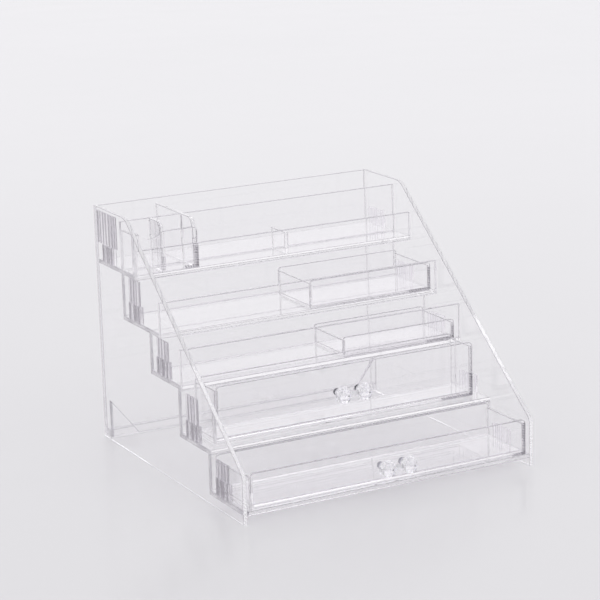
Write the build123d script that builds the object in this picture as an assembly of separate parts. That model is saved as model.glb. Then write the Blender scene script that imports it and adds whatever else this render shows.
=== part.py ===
"""Clear sheet organizer for cosmetics: stepped shelves between two cheeks, two pull-out
drawers at the front and two loose trays. Millimetres, +Z up, +X to the right, +Y to the back.
The origin is on the table, under the middle of the whole object with its pulls."""
import os
from math import cos, radians, sin

from build123d import *

# Sheet and glue-up
sheet = 4.0                 # thickness of every sheet of the case
case_width = 300.0          # over both cheeks
base_clearance = 8.0        # table to the underside of the lowest shelf
arris = 0.3                 # broken edge round every sheet
glue_line = 0.1             # between two sheets glued together

# Shelves, counted from the top: 1 is the highest, 5 the base shelf of the lowest drawer
shelf_5_rise = 38.0         # top of shelf 5 to top of shelf 4
shelf_4_rise = 45.5
shelf_3_rise = 39.0
shelf_2_rise = 44.5
top_bay_height = 52.0       # top of shelf 1 to the top edge of the cheeks
front_bay_depth = 65.5      # front edge of the case to the lowest riser
riser_pitch = 58.0          # one riser to the next
rear_bay_depth = 52.5       # back of the highest riser to the back panel
shelf_1_overhang = 31.5     # lip face in front of the riser below
shelf_2_overhang = 21.5
shelf_3_overhang = 5.5
lip_drop = 11.7             # lip top below the sloping edge of the cheeks

# Cheeks
front_edge_height = 45.0    # foot of the sloping edge
flat_top_depth = 72.0       # level top edge, measured from the back
top_corner_radius = 20.0
front_corner_radius = 8.0

# Back and bracing
rail_depth = 8.0
rail_height = 9.5
gusset_width = 29.0
gusset_height = 37.0
gusset_foot = 3.0           # gusset foot above the table

# Fittings of the top shelf
partition_drop = 5.5        # partition top below the cheek tops
divider_radius = 8.0        # rounded front corner of the tall dividers
long_divider_offset = 59.0  # left cheek to the long divider
cell_pitch = 26.0           # left cheek to the small divider
trough_divider_offset = 154.0
trough_divider_height = 21.0
halving_fit = 0.15          # each side of a sheet in a halving slot
scoop_radius = 15.0         # finger scoop in the front of the outer cell
scoop_depth = 6.0

# Ribbed clips that key each shelf to the cheeks
clip_setback = 10.0         # in front of each riser, or of the back panel
clip_depth = 26.0
clip_height = 16.0
clip_web = 1.2
clip_thickness = 3.2
clip_rib = 1.8
clip_rib_places = (0.0, 4.5, 11.0, 24.2)

# Running gaps of everything that is not glued
run_clearance = 0.3         # under each drawer and tray
back_clearance = 0.5        # behind each drawer, and tray to lip

# Drawers
drawer_wall = 3.0
drawer_floor_lift = 1.5     # drawer floor above the foot of its walls
drawer_corner_radius = 4.0
drawer_4_side_gap = 11.5
drawer_4_depth = 39.5
drawer_4_height = 52.5
drawer_4_pull_height = 27.5
drawer_5_side_gap = 4.0
drawer_5_depth = 65.0
drawer_5_height = 33.5
drawer_5_pull_height = 17.0

# Faceted pulls
ball_diameter = 15.0
pull_spacing = 22.0
neck_diameter = 6.5
neck_length = 3.0
bar_diameter = 5.0
facets_around = 8
facet_rings = (36.0, 66.0, 96.0, 126.0, 152.0)   # degrees from the front pole
screw_diameter = 3.0
screw_fit = 0.2
screw_bite = 6.0            # screw length inside neck and ball
screw_head_diameter = 6.5
screw_head_height = 2.2

# Loose trays
tray_wall = 2.5
tray_corner_radius = 3.0
tray_end_gap = 5.0          # tray to the right cheek
tray_a_width = 132.0
tray_a_depth = 65.0
tray_a_height = 27.2
tray_b_width = 121.0
tray_b_depth = 57.5
tray_b_height = 19.0

# Worked out from the sizes above
case_depth = front_bay_depth + 3 * riser_pitch + sheet + rear_bay_depth + sheet
drawer_5_set_out = drawer_5_depth + back_clearance - front_bay_depth
pull_reach = ball_diameter + neck_length + drawer_5_set_out
front_y = (pull_reach - case_depth) / 2
back_y = front_y + case_depth
right_x = case_width / 2
inner_x = right_x - sheet
back_inner_y = back_y - sheet
seat_x = inner_x - glue_line
across = (-seat_x, seat_x)

floor_top = {5: base_clearance + sheet}
floor_top[4] = floor_top[5] + shelf_5_rise
floor_top[3] = floor_top[4] + shelf_4_rise
floor_top[2] = floor_top[3] + shelf_3_rise
floor_top[1] = floor_top[2] + shelf_2_rise
case_height = floor_top[1] + top_bay_height

riser_face = {n: front_y + front_bay_depth + (5 - n) * riser_pitch for n in (5, 4, 3, 2)}
lip_face = {
    1: riser_face[2] - shelf_1_overhang,
    2: riser_face[3] - shelf_2_overhang,
    3: riser_face[4] - shelf_3_overhang,
}
partition_top = case_height - partition_drop
cell_back_y = lip_face[1] + 2 * sheet + glue_line


def slope_height(y):
    """Height of the sloping cheek edge at y."""
    rise = case_height - front_edge_height
    return front_edge_height + (y - front_y) * rise / (case_depth - flat_top_depth)


def block(x_span, y_span, z_span):
    """Box between three pairs of faces."""
    size = [span[1] - span[0] for span in (x_span, y_span, z_span)]
    middle = [(span[0] + span[1]) / 2 for span in (x_span, y_span, z_span)]
    return Pos(*middle) * Box(*size)


def sheet_block(x_span, y_span, z_span):
    """Rectangular sheet with its edges broken."""
    plain = block(x_span, y_span, z_span)
    return chamfer(plain.edges(), arris)


def rounded_outline(points, rounds):
    """Closed outline; rounds gives (corner, radius) pairs."""
    face = Polygon(*points, align=None)
    for corner, radius in rounds:
        vertex = face.vertices().sort_by_distance((corner[0], corner[1], 0))[0]
        face = fillet(vertex, radius)
    return face


def facing_side(points, rounds, x, thickness):
    """Sheet seen from the right: outline in (y, z), from x to x + thickness."""
    plane = Plane(origin=(x, 0, 0), x_dir=(0, 1, 0), z_dir=(1, 0, 0))
    plain = extrude(plane * rounded_outline(points, rounds), amount=thickness)
    return chamfer(plain.edges(), arris)


def facing_front(points, rounds, y, thickness):
    """Sheet seen from the front: outline in (x, z), from y to y + thickness."""
    plane = Plane(origin=(0, y + thickness, 0), x_dir=(1, 0, 0), z_dir=(0, -1, 0))
    plain = extrude(plane * rounded_outline(points, rounds), amount=thickness)
    return chamfer(plain.edges(), arris)


def rectangle_points(u_span, v_span):
    """Corners of a rectangle, anticlockwise from the lower left."""
    return [
        (u_span[0], v_span[0]),
        (u_span[1], v_span[0]),
        (u_span[1], v_span[1]),
        (u_span[0], v_span[1]),
    ]


def cheek(x):
    """Side panel with a level top, a sloping edge and two rounded corners."""
    top_front = (back_y - flat_top_depth, case_height)
    slope_foot = (front_y, front_edge_height)
    points = [(front_y, 0), (back_y, 0), (back_y, case_height), top_front, slope_foot]
    rounds = [(top_front, top_corner_radius), (slope_foot, front_corner_radius)]
    return facing_side(points, rounds, x, sheet)


def shelf_floor(n):
    """Floor of shelf n, from its lip or front edge to the back of the riser on it."""
    front = {m: lip_face[m] + sheet + glue_line for m in (1, 2, 3)}
    front[4] = riser_face[5]
    front[5] = front_y
    back = back_inner_y - glue_line if n == 1 else riser_face[n] + sheet
    return sheet_block(across, (front[n], back), (floor_top[n] - sheet, floor_top[n]))


def riser(n):
    """Upright sheet that stands on shelf n and carries the shelf above."""
    heights = (floor_top[n] + glue_line, floor_top[n - 1] - sheet - glue_line)
    return sheet_block(across, (riser_face[n], riser_face[n] + sheet), heights)


def lip(n):
    """Front wall glued over the front edge of shelf n."""
    heights = (floor_top[n] - sheet, slope_height(lip_face[n]) - lip_drop)
    return sheet_block(across, (lip_face[n], lip_face[n] + sheet), heights)


def corner_gusset(side):
    """Triangle in a rear bottom corner; side is -1 for the left, 1 for the right."""
    wall = side * seat_x
    toe = side * (seat_x - gusset_width)
    points = [(toe, gusset_foot), (wall, gusset_foot), (wall, gusset_foot + gusset_height)]
    back = back_inner_y - rail_depth - 2 * glue_line
    return facing_front(points[::side], [], back - sheet, sheet)


def partition():
    """Cross wall of the top shelf, with the upper half of the halving joint."""
    wall = sheet_block(
        across,
        (riser_face[2], riser_face[2] + sheet),
        (floor_top[1] + glue_line, partition_top),
    )
    left = -inner_x + long_divider_offset
    middle = (floor_top[1] + partition_top) / 2
    slot = block(
        (left - halving_fit, left + sheet + halving_fit),
        (riser_face[2] - sheet, riser_face[2] + 2 * sheet),
        (middle, partition_top + sheet),
    )
    return wall - slot


def tall_divider(x, front, back):
    """Divider of the top shelf with its upper front corner rounded."""
    heights = (floor_top[1] + glue_line, partition_top)
    points = rectangle_points((front + glue_line, back - glue_line), heights)
    corner = (front + glue_line, partition_top)
    return facing_side(points, [(corner, divider_radius)], x, sheet)


def long_divider():
    """Divider from the cell front to the back panel, with the lower half of the joint."""
    left = -inner_x + long_divider_offset
    wall = tall_divider(left, cell_back_y, back_inner_y)
    middle = (floor_top[1] + partition_top) / 2
    slot = block(
        (left - sheet, left + 2 * sheet),
        (riser_face[2] - halving_fit, riser_face[2] + sheet + halving_fit),
        (floor_top[1] - sheet, middle),
    )
    return wall - slot


def cell_front():
    """Tall front wall of the two narrow cells, with a finger scoop over the outer one."""
    right = -inner_x + long_divider_offset + sheet
    top = partition_top - divider_radius
    points = rectangle_points((-seat_x, right), (floor_top[1] + glue_line, top))
    rounds = [((right, top), divider_radius / 2)]
    wall = facing_front(points, rounds, cell_back_y - sheet, sheet)
    centre_x = -inner_x + (sheet + cell_pitch) / 2
    scoop = along_y(scoop_radius, (cell_back_y - 2 * sheet, cell_back_y + sheet))
    return wall - Pos(centre_x, 0, top + scoop_radius - scoop_depth) * scoop


def cell_left_wall():
    """Inner wall of the outer cell, flat against the left cheek."""
    heights = (floor_top[1] + glue_line, partition_top - divider_radius)
    places = (cell_back_y + glue_line, riser_face[2] - glue_line)
    return sheet_block((-seat_x, -seat_x + sheet), places, heights)


def trough_divider():
    """Low divider between the lip and the partition."""
    left = -inner_x + trough_divider_offset
    foot = floor_top[1] + glue_line
    return sheet_block(
        (left, left + sheet),
        (lip_face[1] + sheet + glue_line, riser_face[2] - glue_line),
        (foot, foot + trough_divider_height),
    )


def shelf_clip(n, side):
    """Ribbed clip at one end of shelf n; side is -1 for the left, 1 for the right."""
    behind = back_inner_y if n == 1 else riser_face[n]
    back = behind - clip_setback
    foot = floor_top[n] + glue_line
    heights = (foot, foot + clip_height)
    wall = side * seat_x
    web_x = sorted((wall, wall - side * clip_web))
    rib_x = sorted((wall, wall - side * clip_thickness))
    clip = block(web_x, (back - clip_depth, back), heights)
    for place in clip_rib_places:
        clip += block(rib_x, (back - place - clip_rib, back - place), heights)
    return clip


def shelf_clips(side):
    """The clips of all five shelves on one side."""
    return Compound(children=[shelf_clip(n, side) for n in (1, 2, 3, 4, 5)])


def open_box(name, x_span, y_span, z_span, wall, floor_lift, radius):
    """Five glued sheets of a drawer or tray, open at the top."""
    corner_left = (x_span[0], z_span[1])
    corner_right = (x_span[1], z_span[1])
    points = rectangle_points(x_span, z_span)
    rounds = [(corner_left, radius), (corner_right, radius)]
    inside_x = (x_span[0] + wall, x_span[1] - wall)
    inside_y = (y_span[0] + wall + glue_line, y_span[1] - wall - glue_line)
    floor_x = (inside_x[0] + glue_line, inside_x[1] - glue_line)
    side_heights = (z_span[0], z_span[1] - radius)
    floor_heights = (z_span[0] + floor_lift, z_span[0] + floor_lift + wall)
    return {
        name + "_front": facing_front(points, rounds, y_span[0], wall),
        name + "_back": facing_front(points, rounds, y_span[1] - wall, wall),
        name + "_left_wall": sheet_block((x_span[0], inside_x[0]), inside_y, side_heights),
        name + "_right_wall": sheet_block((inside_x[1], x_span[1]), inside_y, side_heights),
        name + "_floor": sheet_block(floor_x, inside_y, floor_heights),
    }


def faceted_ball():
    """Ball cut by rings of flat facets, each ring turned half a step from the last."""
    radius = ball_diameter / 2
    ball = Box(ball_diameter, ball_diameter, ball_diameter)
    step = 360 / facets_around
    for ring, from_pole in enumerate(facet_rings):
        for facet in range(facets_around):
            turn = radians((facet + 0.5 * (ring % 2)) * step)
            tilt = radians(from_pole)
            normal = Vector(sin(tilt) * cos(turn), -cos(tilt), sin(tilt) * sin(turn))
            cut = Plane(origin=normal * radius, z_dir=normal)
            ball = split(ball, cut, keep=Keep.BOTTOM)
    return ball


def along_y(radius, y_span):
    """Round bar from one y to another."""
    turned = Rot(90, 0, 0) * Cylinder(radius, y_span[1] - y_span[0])
    return Pos(0, (y_span[0] + y_span[1]) / 2, 0) * turned


def pull_pieces(name, face_y, height):
    """Two faceted balls on necks, the bar between them and their screws."""
    ball_y = face_y - neck_length - ball_diameter / 2
    places = [Pos(side * pull_spacing / 2, 0, height) for side in (-1, 1)]
    neck = along_y(neck_diameter / 2, (ball_y, face_y))
    bite_end = face_y - screw_bite
    hole = along_y(screw_diameter / 2 + screw_fit / 2, (bite_end - screw_fit, face_y + screw_fit))
    ball = Pos(0, ball_y, 0) * faceted_ball() + neck - hole
    balls = [place * ball for place in places]
    rod = Rot(0, 90, 0) * Cylinder(bar_diameter / 2, pull_spacing)
    bar = Pos(0, ball_y, height) * rod - balls[0] - balls[1]
    inside = face_y + drawer_wall
    shank = along_y(screw_diameter / 2, (bite_end, inside + screw_head_height / 2))
    head = along_y(screw_head_diameter / 2, (inside, inside + screw_head_height))
    rim = head.faces().sort_by(Axis.Y)[-1].edges()
    screw = chamfer(rim, screw_head_height / 3) + shank
    return {
        name + "_pull_balls": Compound(children=balls),
        name + "_pull_bar": bar,
        name + "_pull_screws": Compound(children=[place * screw for place in places]),
    }


def drawer(name, shelf, side_gap, back, depth, height, pull_height):
    """Drawer on a shelf: its box, with screw holes in the front, and its pull."""
    foot = floor_top[shelf] + run_clearance
    half = inner_x - side_gap
    spans = ((-half, half), (back - depth, back), (foot, foot + height))
    pieces = open_box(name, *spans, drawer_wall, drawer_floor_lift, drawer_corner_radius)
    face_y = back - depth
    pull_z = foot + pull_height
    hole = along_y(screw_diameter / 2 + screw_fit / 2, (face_y - 1, face_y + drawer_wall + 1))
    for side in (-1, 1):
        place = Pos(side * pull_spacing / 2, 0, pull_z)
        pieces[name + "_front"] = pieces[name + "_front"] - place * hole
    pieces.update(pull_pieces(name, face_y, pull_z))
    return pieces


def tray(name, shelf, width, depth, height):
    """Loose tray near the right end of a shelf, just behind its lip."""
    foot = floor_top[shelf] + run_clearance
    right = inner_x - tray_end_gap
    front = lip_face[shelf] + sheet + back_clearance
    spans = ((right - width, right), (front, front + depth), (foot, foot + height))
    return open_box(name, *spans, tray_wall, 0, tray_corner_radius)


def case_pieces():
    """Every glued sheet of the case."""
    rail_y = (back_inner_y - rail_depth - glue_line, back_inner_y - glue_line)
    small_x = -inner_x + cell_pitch
    pieces = {
        "left_side_panel": cheek(-right_x),
        "right_side_panel": cheek(inner_x),
        "back_panel": sheet_block(across, (back_inner_y, back_y), (0, case_height)),
        "rear_rail": sheet_block(across, rail_y, (0, rail_height)),
        "left_corner_gusset": corner_gusset(-1),
        "right_corner_gusset": corner_gusset(1),
        "base_floor": shelf_floor(5),
        "left_shelf_clips": shelf_clips(-1),
        "right_shelf_clips": shelf_clips(1),
        "tier_1_partition": partition(),
        "tier_1_long_divider": long_divider(),
        "tier_1_small_divider": tall_divider(small_x, cell_back_y, riser_face[2]),
        "tier_1_cell_front": cell_front(),
        "tier_1_cell_left_wall": cell_left_wall(),
        "tier_1_trough_divider": trough_divider(),
    }
    for n in (1, 2, 3, 4):
        pieces[f"tier_{n}_floor"] = shelf_floor(n)
    for n in (2, 3, 4, 5):
        pieces[f"riser_{n}"] = riser(n)
    for n in (1, 2, 3):
        pieces[f"tier_{n}_lip"] = lip(n)
    return pieces


def main():
    os.makedirs("parts", exist_ok=True)
    pieces = case_pieces()
    pieces.update(
        drawer(
            "drawer_4",
            4,
            drawer_4_side_gap,
            lip_face[3] - back_clearance,
            drawer_4_depth,
            drawer_4_height,
            drawer_4_pull_height,
        )
    )
    pieces.update(
        drawer(
            "drawer_5",
            5,
            drawer_5_side_gap,
            riser_face[5] - back_clearance,
            drawer_5_depth,
            drawer_5_height,
            drawer_5_pull_height,
        )
    )
    pieces.update(tray("tray_a", 2, tray_a_width, tray_a_depth, tray_a_height))
    pieces.update(tray("tray_b", 3, tray_b_width, tray_b_depth, tray_b_height))
    for name, piece in pieces.items():
        export_step(piece, f"parts/{name}.step")
        print(name, len(piece.solids()))


main()
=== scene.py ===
"""Clear stepped organizer for cosmetics: polished sheet, faceted pulls, stage and camera."""
from math import pi, radians

import bmesh
import bpy
from bpy.props import FloatProperty, FloatVectorProperty, IntProperty, PointerProperty
from mathutils import Matrix, Vector


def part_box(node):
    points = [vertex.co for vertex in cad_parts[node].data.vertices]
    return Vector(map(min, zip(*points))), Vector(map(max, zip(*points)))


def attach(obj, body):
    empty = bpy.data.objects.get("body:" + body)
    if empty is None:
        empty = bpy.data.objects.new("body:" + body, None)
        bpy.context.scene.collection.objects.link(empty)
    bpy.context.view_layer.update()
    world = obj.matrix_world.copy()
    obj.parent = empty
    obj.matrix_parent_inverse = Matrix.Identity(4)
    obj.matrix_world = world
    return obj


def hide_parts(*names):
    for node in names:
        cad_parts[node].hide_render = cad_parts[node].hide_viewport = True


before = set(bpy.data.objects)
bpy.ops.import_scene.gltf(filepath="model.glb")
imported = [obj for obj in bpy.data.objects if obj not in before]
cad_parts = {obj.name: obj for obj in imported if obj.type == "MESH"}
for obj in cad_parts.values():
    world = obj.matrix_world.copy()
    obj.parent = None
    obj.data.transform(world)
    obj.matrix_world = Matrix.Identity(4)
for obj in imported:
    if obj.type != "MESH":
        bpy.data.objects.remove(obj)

bl_info = {
    "name": "Clear Stepped Organizer",
    "version": (1, 0, 0),
    "blender": (4, 5, 0),
    "location": "View3D > Sidebar > Organizer",
    "description": "Finishes the sheets, clips, pulls and stage of a clear stepped organizer",
    "category": "Object",
}

AXES = {"x": (1, 0, 0), "y": (0, 1, 0), "z": (0, 0, 1)}
CLIP_NODES = ("left_shelf_clips", "right_shelf_clips")
CRYSTAL_ENDINGS = ("_pull_balls", "_pull_bar")
SCREWED_DRAWERS = ("drawer_4", "drawer_5")
TRAYS = ("tray_a", "tray_b")
LOOSE_BODIES = SCREWED_DRAWERS + TRAYS
# How far cement marks run along the bottom edge from the right end, and up that end
CEMENT_CORNERS = {
    "tray_a_front": (0.024, 0.022),
    "tray_b_front": (0.030, 0.012),
    "drawer_4_front": (0.034, 0.022),
    "drawer_5_front": (0.014, 0.030),
    "tier_1_cell_front": (0.014, 0.020),
}
# How far those marks reach past the sheet's faces
MARK_MARGIN = 0.001

RISER_TIERS = ("riser_2", "riser_3", "riser_4", "riser_5")
SHELF_TIERS = ("tier_1_floor", "tier_2_floor", "tier_3_floor", "tier_4_floor", "base_floor")
CEMENTED_ENDS = SHELF_TIERS + RISER_TIERS + ("left_corner_gusset",)

# Light that one face lets through towards the floor, the colour of trapped light, and the
# bounces after which light counts as trapped
SHEET_SHADE = (0.974, 0.972, 0.976)
MOULDING_SHADE = (0.93, 0.92, 0.94)
MOULDING_GLOW = (0.45, 0.42, 0.47)
CRYSTAL_SHADE = (0.93, 0.93, 0.94)
CRYSTAL_GLOW = (0.80, 0.79, 0.82)
SHEET_DEPTH = 32.0
SMALL_PART_DEPTH = 30.0

# Finishes
CEMENT_ROUGHNESS = 0.25
SAW_MARK_HEIGHT = 0.004
SCRATCH_HEIGHT = -0.02
CLEAR_MOULDING = (0.995, 0.985, 1.0)
WORN_CRYSTAL = (0.96, 0.95, 0.975)
WORN_METAL = (0.30, 0.295, 0.31)
BAR_UNEVENNESS = 5.0

# Screws: shares of the shank's length, the thread's depth, the head's height and its radius
THREAD_START = 0.02
THREADED_SHARE = 0.95
RIDGE_SHARE = 0.96
SHANK_IN_HEAD = 0.3
RECESS_ARM = 1.15

# Fluted strips: foot over the shelf, gaps around them, and where they start and end in front
# of the sheet behind them
CLIP_TOP = 0.0168
STRIP_CLEARANCE = 0.0004
STRIP_ROOF_GAP = 0.004
TOP_STRIP_REACH = (0.044, 0.0008)
STRIP_REACH = (0.036, 0.012)
CHEEK_GAP = 0.0001

# Stage
LIGHT_BOUNCES = 64
# Painted light on the floor: the turn of its ramp towards the camera's direction, and where the
# ramp starts and ends
FLOOR_TURN = radians(28)
FLOOR_FADE = (-1.0, 2.4)
FLOOR_REACH = 30.0
# Direction, where the room's light starts and stops changing, and its levels before and after
ROOM_LEVELS = (
    ("Y", -0.98, -0.6, 0.8, 1.0),
    ("X", 0.7, 0.97, 1.0, 0.4),
    ("Z", 0.25, 0.75, 1.0, 1.2),
)
LAMP_SIZE = (2.2, 1.5)
LAMP_PLACE = Vector((0.2, -1.3, 2.0))
LAMP_AIM = Vector((0, 0, 0.1))
CAMERA_PLACE = Vector((-0.961, -1.792, 0.676))
CAMERA_RIGHT = Vector((0.8805, -0.4733, -0.0276))
CAMERA_DOWN = Vector((-0.1422, -0.2080, -0.9678))
CAMERA_FORWARD = Vector((0.4523, 0.8560, -0.2504))


class OrganizerSheet(bpy.types.PropertyGroup):
    """Clear sheet, its polished cut edges and its wear, and the painted shade on its cut edges,
    eased corners and left mouldings.
    """

    tint: FloatVectorProperty(
        name="Sheet tint", description="Colour of the clear sheet",
        subtype="COLOR", size=3, min=0, max=1, default=(0.999, 0.997, 1.0),
    )
    bright_cut_colour: FloatVectorProperty(
        name="Bright edge tint", description="Colour of the cut edges of cheeks and shelves",
        subtype="COLOR", size=3, min=0, max=1, default=(1.0, 0.998, 1.0),
    )
    # Painted shade: the grey lines along the cut edges of risers, lips and walls are put into
    # their colour
    edge_shade_tint: FloatVectorProperty(
        name="Edge tint", description="Colour of the cut edges of risers, lips and walls",
        subtype="COLOR", size=3, min=0, max=1, default=(0.80, 0.785, 0.815),
    )
    trapped_tint: FloatVectorProperty(
        name="Trapped light", description="Colour of light that runs along inside a sheet",
        subtype="COLOR", size=3, min=0, max=1, default=(0.80, 0.785, 0.815),
    )
    # Painted shade: dark lines along the sheet edges are put into the colour of the eased corners
    arris_shade_tint: FloatVectorProperty(
        name="Arris tint", description="Colour of the eased corners along the cut edges",
        subtype="COLOR", size=3, min=0, max=1, default=(0.26, 0.25, 0.275),
    )
    cement_tint: FloatVectorProperty(
        name="Cement tint", description="Colour of dried cement in the glued joints",
        subtype="COLOR", size=3, min=0, max=1, default=(0.28, 0.265, 0.30),
    )
    # Painted shade: the dark bars at the left ends, seen through the left cheek, are put into the
    # colour of the left clips and fluted strips
    left_moulding_shade_tint: FloatVectorProperty(
        name="Moulding tint", description="Darkest colour of the clips and fluted strips",
        subtype="COLOR", size=3, min=0, max=1, default=(0.24, 0.21, 0.26),
    )
    # The right clips, the same moulding, keep a near-clear colour
    right_clip_tint: FloatVectorProperty(
        name="Clear moulding tint", description="Darkest colour of the right clips",
        subtype="COLOR", size=3, min=0, max=1, default=(0.95, 0.94, 0.96),
    )
    flute_pitch: FloatProperty(
        name="Flute pitch", description="Distance between the ribs of the fluted strips",
        default=0.0036, min=0.001, max=0.02, unit="LENGTH",
    )
    flute_depth: FloatProperty(
        name="Flute depth", description="Height of the ribs of the fluted strips",
        default=0.0009, min=0.0001, max=0.003, unit="LENGTH",
    )
    strip_base: FloatProperty(
        name="Strip base", description="Thickness of a fluted strip under its ribs",
        default=0.0008, min=0.0003, max=0.003, unit="LENGTH",
    )
    index: FloatProperty(
        name="Refractive index", description="How strongly the sheet bends light",
        default=1.49, min=1.0, max=2.0,
    )
    edge_roughness: FloatProperty(
        name="Edge roughness", description="How satin the cut edges are",
        default=0.05, min=0.0, max=1.0, subtype="FACTOR",
    )
    smudge_roughness: FloatProperty(
        name="Smudge roughness", description="How dull the faintly handled patches are",
        default=0.035, min=0.0, max=0.5, subtype="FACTOR",
    )


class OrganizerPulls(bpy.types.PropertyGroup):
    """Faceted balls and the screws that hold them."""

    crystal_tint: FloatVectorProperty(
        name="Crystal tint", description="Colour of the clear faceted balls",
        subtype="COLOR", size=3, min=0, max=1, default=(0.99, 0.99, 1.0),
    )
    crystal_index: FloatProperty(
        name="Crystal index", description="How strongly the balls bend light",
        default=1.74, min=1.0, max=2.4,
    )
    metal_tint: FloatVectorProperty(
        name="Screw metal", description="Colour of the bright screws",
        subtype="COLOR", size=3, min=0, max=1, default=(0.42, 0.42, 0.44),
    )
    shank_diameter: FloatProperty(
        name="Shank diameter", description="Outer diameter of the screw thread",
        default=0.003, min=0.001, max=0.01, unit="LENGTH",
    )
    thread_pitch: FloatProperty(
        name="Thread pitch", description="Rise of the thread in one turn",
        default=0.0005, min=0.0002, max=0.003, unit="LENGTH",
    )
    thread_depth: FloatProperty(
        name="Thread depth", description="Depth of the thread",
        default=0.00028, min=0.0001, max=0.001, unit="LENGTH",
    )
    head_height: FloatProperty(
        name="Head height", description="Height of the screw's head",
        default=0.0022, min=0.0005, max=0.01, unit="LENGTH",
    )
    recess_depth: FloatProperty(
        name="Recess depth", description="Depth of the cross recess in the head",
        default=0.0012, min=0.0002, max=0.005, unit="LENGTH",
    )
    recess_width: FloatProperty(
        name="Recess width", description="Width of one arm of the cross recess",
        default=0.0008, min=0.0002, max=0.005, unit="LENGTH",
    )
    facets: IntProperty(
        name="Round facets", description="Sides of the screw's round parts",
        default=40, min=8, max=128,
    )


class OrganizerStage(bpy.types.PropertyGroup):
    """Floor, light and camera."""

    # Painted light: the floor goes from a darker colour in front, towards the camera, to a lighter
    # one behind
    shaded_near_floor: FloatVectorProperty(
        name="Near floor", description="Colour of the floor in front of the organizer",
        subtype="COLOR", size=3, min=0, max=1, default=(0.584, 0.582, 0.588),
    )
    lit_far_floor: FloatVectorProperty(
        name="Far floor", description="Colour of the floor far behind it",
        subtype="COLOR", size=3, min=0, max=1, default=(0.703, 0.703, 0.709),
    )
    lens: FloatProperty(
        name="Lens", description="Focal length on a 36 mm sensor",
        default=135.3, min=20, max=300, unit="CAMERA",
    )
    lamp_power: FloatProperty(
        name="Lamp power", description="Power of the wide lamp above",
        default=9.0, min=0, max=200, unit="POWER",
    )


def node(tree, kind, **settings):
    """Adds a node and sets its plain settings."""
    made = tree.nodes.new(kind)
    for key, value in settings.items():
        setattr(made, key, value)
    return made


def fill(made, **values):
    """Sets input sockets of a node by their names, written with underscores."""
    for key, value in values.items():
        made.inputs[key.replace("_", " ")].default_value = value
    return made


def link(tree, source, target):
    """Joins two sockets of a node tree."""
    tree.links.new(source, target)


def maths(tree, operation, first, second=None):
    """Adds a Math node whose inputs are sockets or numbers and returns its output."""
    made = node(tree, "ShaderNodeMath", operation=operation)
    for place, value in enumerate((first, second)):
        if value is None:
            continue
        if isinstance(value, (int, float)):
            made.inputs[place].default_value = value
        else:
            link(tree, value, made.inputs[place])
    return made.outputs[0]


def ranged(tree, value, low, high, out_low=0.0, out_high=1.0):
    """Adds a smooth Map Range node and returns its result."""
    made = node(tree, "ShaderNodeMapRange", interpolation_type="SMOOTHSTEP")
    fill(made, From_Min=low, From_Max=high, To_Min=out_low, To_Max=out_high)
    link(tree, value, made.inputs["Value"])
    return made.outputs["Result"]


def group_with(name, inputs, outputs):
    """Starts a shader group with named sockets and returns it with its two end nodes."""
    group = bpy.data.node_groups.new(name, "ShaderNodeTree")
    for label, kind, value in inputs:
        socket = group.interface.new_socket(label, in_out="INPUT", socket_type=kind)
        socket.default_value = value
    for label, kind in outputs:
        group.interface.new_socket(label, in_out="OUTPUT", socket_type=kind)
    return group, node(group, "NodeGroupInput"), node(group, "NodeGroupOutput")


def cut_edge_group():
    """Masks the faces cut across a sheet and gives their fine saw marks."""
    group, given, result = group_with(
        "cut_edge",
        [("Sheet axis", "NodeSocketVector", (0, 0, 1)), ("Mark scale", "NodeSocketFloat", 900.0)],
        [("Mask", "NodeSocketFloat"), ("Arris", "NodeSocketFloat"),
         ("Marks", "NodeSocketFloat")],
    )
    place = node(group, "ShaderNodeTexCoord")
    facing = node(group, "ShaderNodeVectorMath", operation="DOT_PRODUCT")
    link(group, place.outputs["Normal"], facing.inputs[0])
    link(group, given.outputs["Sheet axis"], facing.inputs[1])
    across = maths(group, "ABSOLUTE", facing.outputs["Value"])
    link(group, ranged(group, across, 0.3, 0.6, 1.0, 0.0), result.inputs["Mask"])
    off_slant = maths(group, "ABSOLUTE", maths(group, "SUBTRACT", across, 0.707))
    link(group, maths(group, "LESS_THAN", off_slant, 0.15), result.inputs["Arris"])
    grain = node(group, "ShaderNodeTexNoise", noise_dimensions="3D")
    fill(grain, Detail=3.0, Roughness=0.6)
    link(group, place.outputs["Object"], grain.inputs["Vector"])
    link(group, given.outputs["Mark scale"], grain.inputs["Scale"])
    link(group, grain.outputs["Fac"], result.inputs["Marks"])
    return group


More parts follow.
